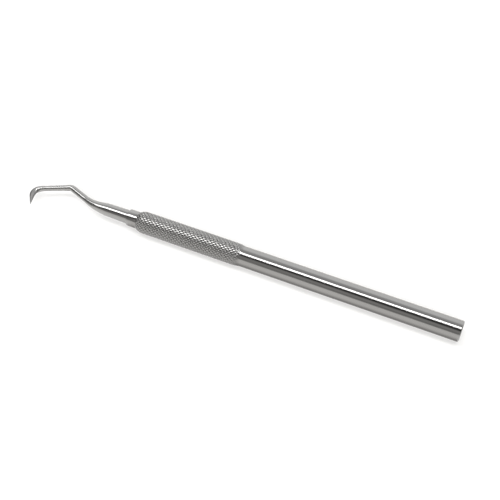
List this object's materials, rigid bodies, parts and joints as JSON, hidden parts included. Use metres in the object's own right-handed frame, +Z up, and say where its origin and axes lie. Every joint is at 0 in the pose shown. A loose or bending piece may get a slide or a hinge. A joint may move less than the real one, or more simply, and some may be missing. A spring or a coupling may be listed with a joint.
{
  "type": "dental explorer",
  "caption": "Single-ended dental explorer: hollow round handle with a diamond-knurled grip, plain nose collar, offset shank and a sharp hooked point; polished stainless steel.",
  "frame": {"origin": "middle of the footprint, on the surface that the instrument lies on", "axes": "+X along the handle's axis, from the hooked point towards the tail; +Z up from the surface; the hook points to -Y, in the horizontal plane of the handle's axis"},
  "size_m": [0.1666, 0.0144, 0.0082],
  "materials": {
    "handle_steel": "polished stainless steel, with a rolled diamond knurl on the grip",
    "collar_steel": "polished stainless steel, turned",
    "working_end_steel": "polished hardened stainless steel, ground at the point",
    "plug_steel": "faced and polished stainless steel"
  },
  "bodies": {
    "root": {"handle_tube": "handle_steel", "nose_collar": "collar_steel", "working_end": "working_end_steel", "tail_plug": "plug_steel"}
  },
  "joints": []
}
